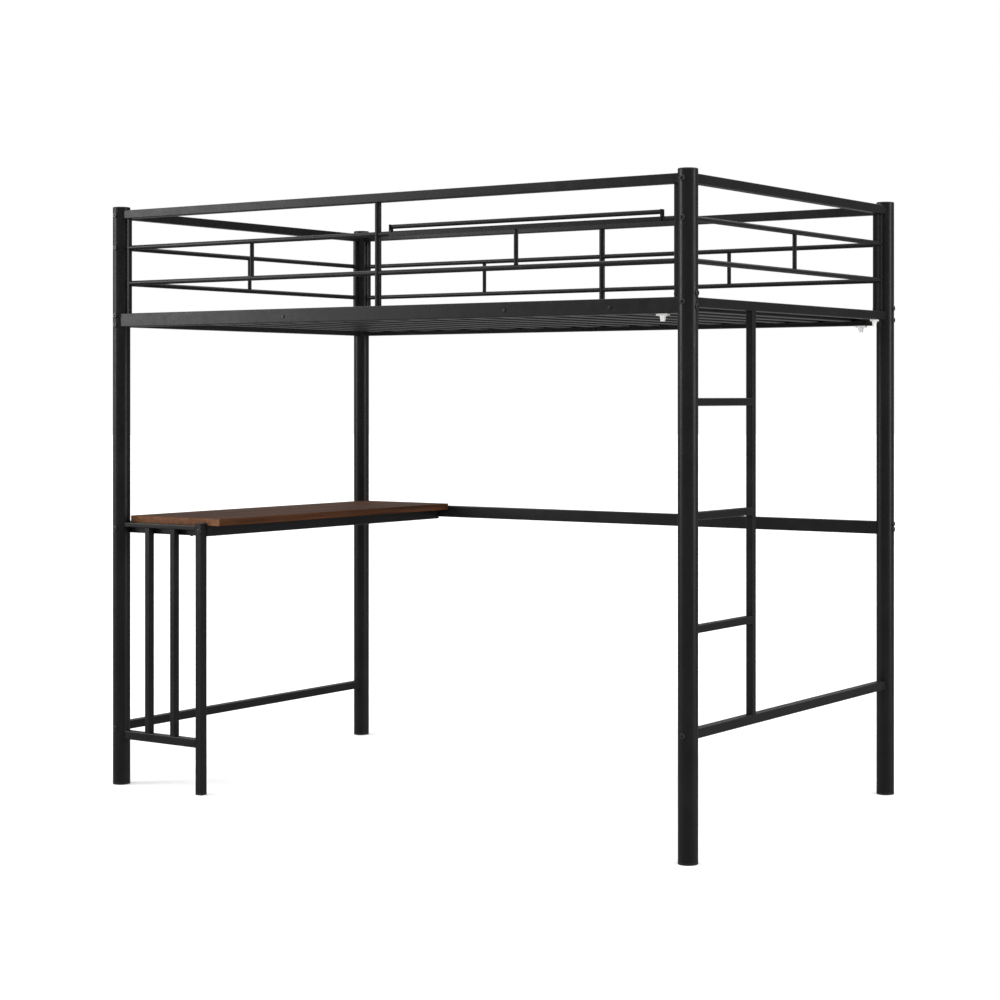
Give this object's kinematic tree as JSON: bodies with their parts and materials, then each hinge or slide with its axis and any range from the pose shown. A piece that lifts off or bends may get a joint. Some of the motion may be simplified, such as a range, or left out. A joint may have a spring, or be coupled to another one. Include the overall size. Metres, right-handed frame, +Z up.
{
  "type": "loft bed with desk",
  "caption": "Raised single bed on four round steel posts, with slats, guard rails all round, ladder rungs at one end and a wooden desk across the other end.",
  "frame": {"origin": "on the floor, under the middle of the bed's outline", "axes": "+X from the desk end to the ladder end, +Y from the open front to the back, +Z up"},
  "size_m": [2.026, 1.164, 1.715],
  "materials": {
    "black_steel": "satin black powder coat",
    "black_plastic": "fine moulded texture",
    "white_nylon": "moulded white nylon",
    "wood_board": "dark brown foil-faced board",
    "black_fastener": "black zinc",
    "bare_steel": "zinc-plated"
  },
  "bodies": {
    "root": {"back_mid_rail": "black_steel", "bed_rail_desk_end": "black_steel", "bed_rail_ladder_end": "black_steel", "desk_cross_rails": "black_steel", "desk_end_lower_bar": "black_steel", "desk_frame_lower_bar": "black_steel", "desk_frame_top_bar": "black_steel", "desk_frame_uprights": "black_steel", "desk_leg": "black_steel", "desk_long_rail": "black_steel", "desk_top": "wood_board", "desk_wall_rail": "black_steel", "feet": "black_plastic", "frame_screws": "black_fastener", "grab_rail": "black_steel", "grab_rail_bracket": "black_steel", "guard_rods_back": "black_steel", "guard_rods_desk_end": "black_steel", "guard_rods_front": "black_steel", "guard_rods_ladder_end": "black_steel", "guard_top_rail_back": "black_steel", "guard_top_rail_desk_end": "black_steel", "guard_top_rail_front": "black_steel", "guard_top_rail_ladder_end": "black_steel", "guard_uprights_back": "black_steel", "guard_uprights_desk_end": "black_steel", "guard_uprights_front": "black_steel", "guard_uprights_ladder_end": "black_steel", "ladder_lower_bar": "black_steel", "ladder_rung_1": "black_steel", "ladder_rung_2": "black_steel", "ladder_rung_3": "black_steel", "ladder_stile": "black_steel", "post_back_left": "black_steel", "post_back_right": "black_steel", "post_front_left": "black_steel", "post_front_right": "black_steel", "rail_bolts": "black_fastener", "rail_nuts": "bare_steel", "side_rail_back": "black_steel", "side_rail_front": "black_steel", "slat_01": "black_steel", "slat_02": "black_steel", "slat_03": "black_steel", "slat_04": "black_steel", "slat_05": "black_steel", "slat_06": "black_steel", "slat_07": "black_steel", "slat_08": "black_steel", "slat_09": "black_steel", "slat_10": "black_steel", "slat_11": "black_steel", "slat_12": "black_steel", "slat_13": "black_steel", "slat_14": "black_steel", "slat_15": "black_steel", "slat_16": "black_steel", "slat_17": "black_steel", "slat_clips": "white_nylon", "tube_caps": "black_plastic"}
  },
  "joints": []
}
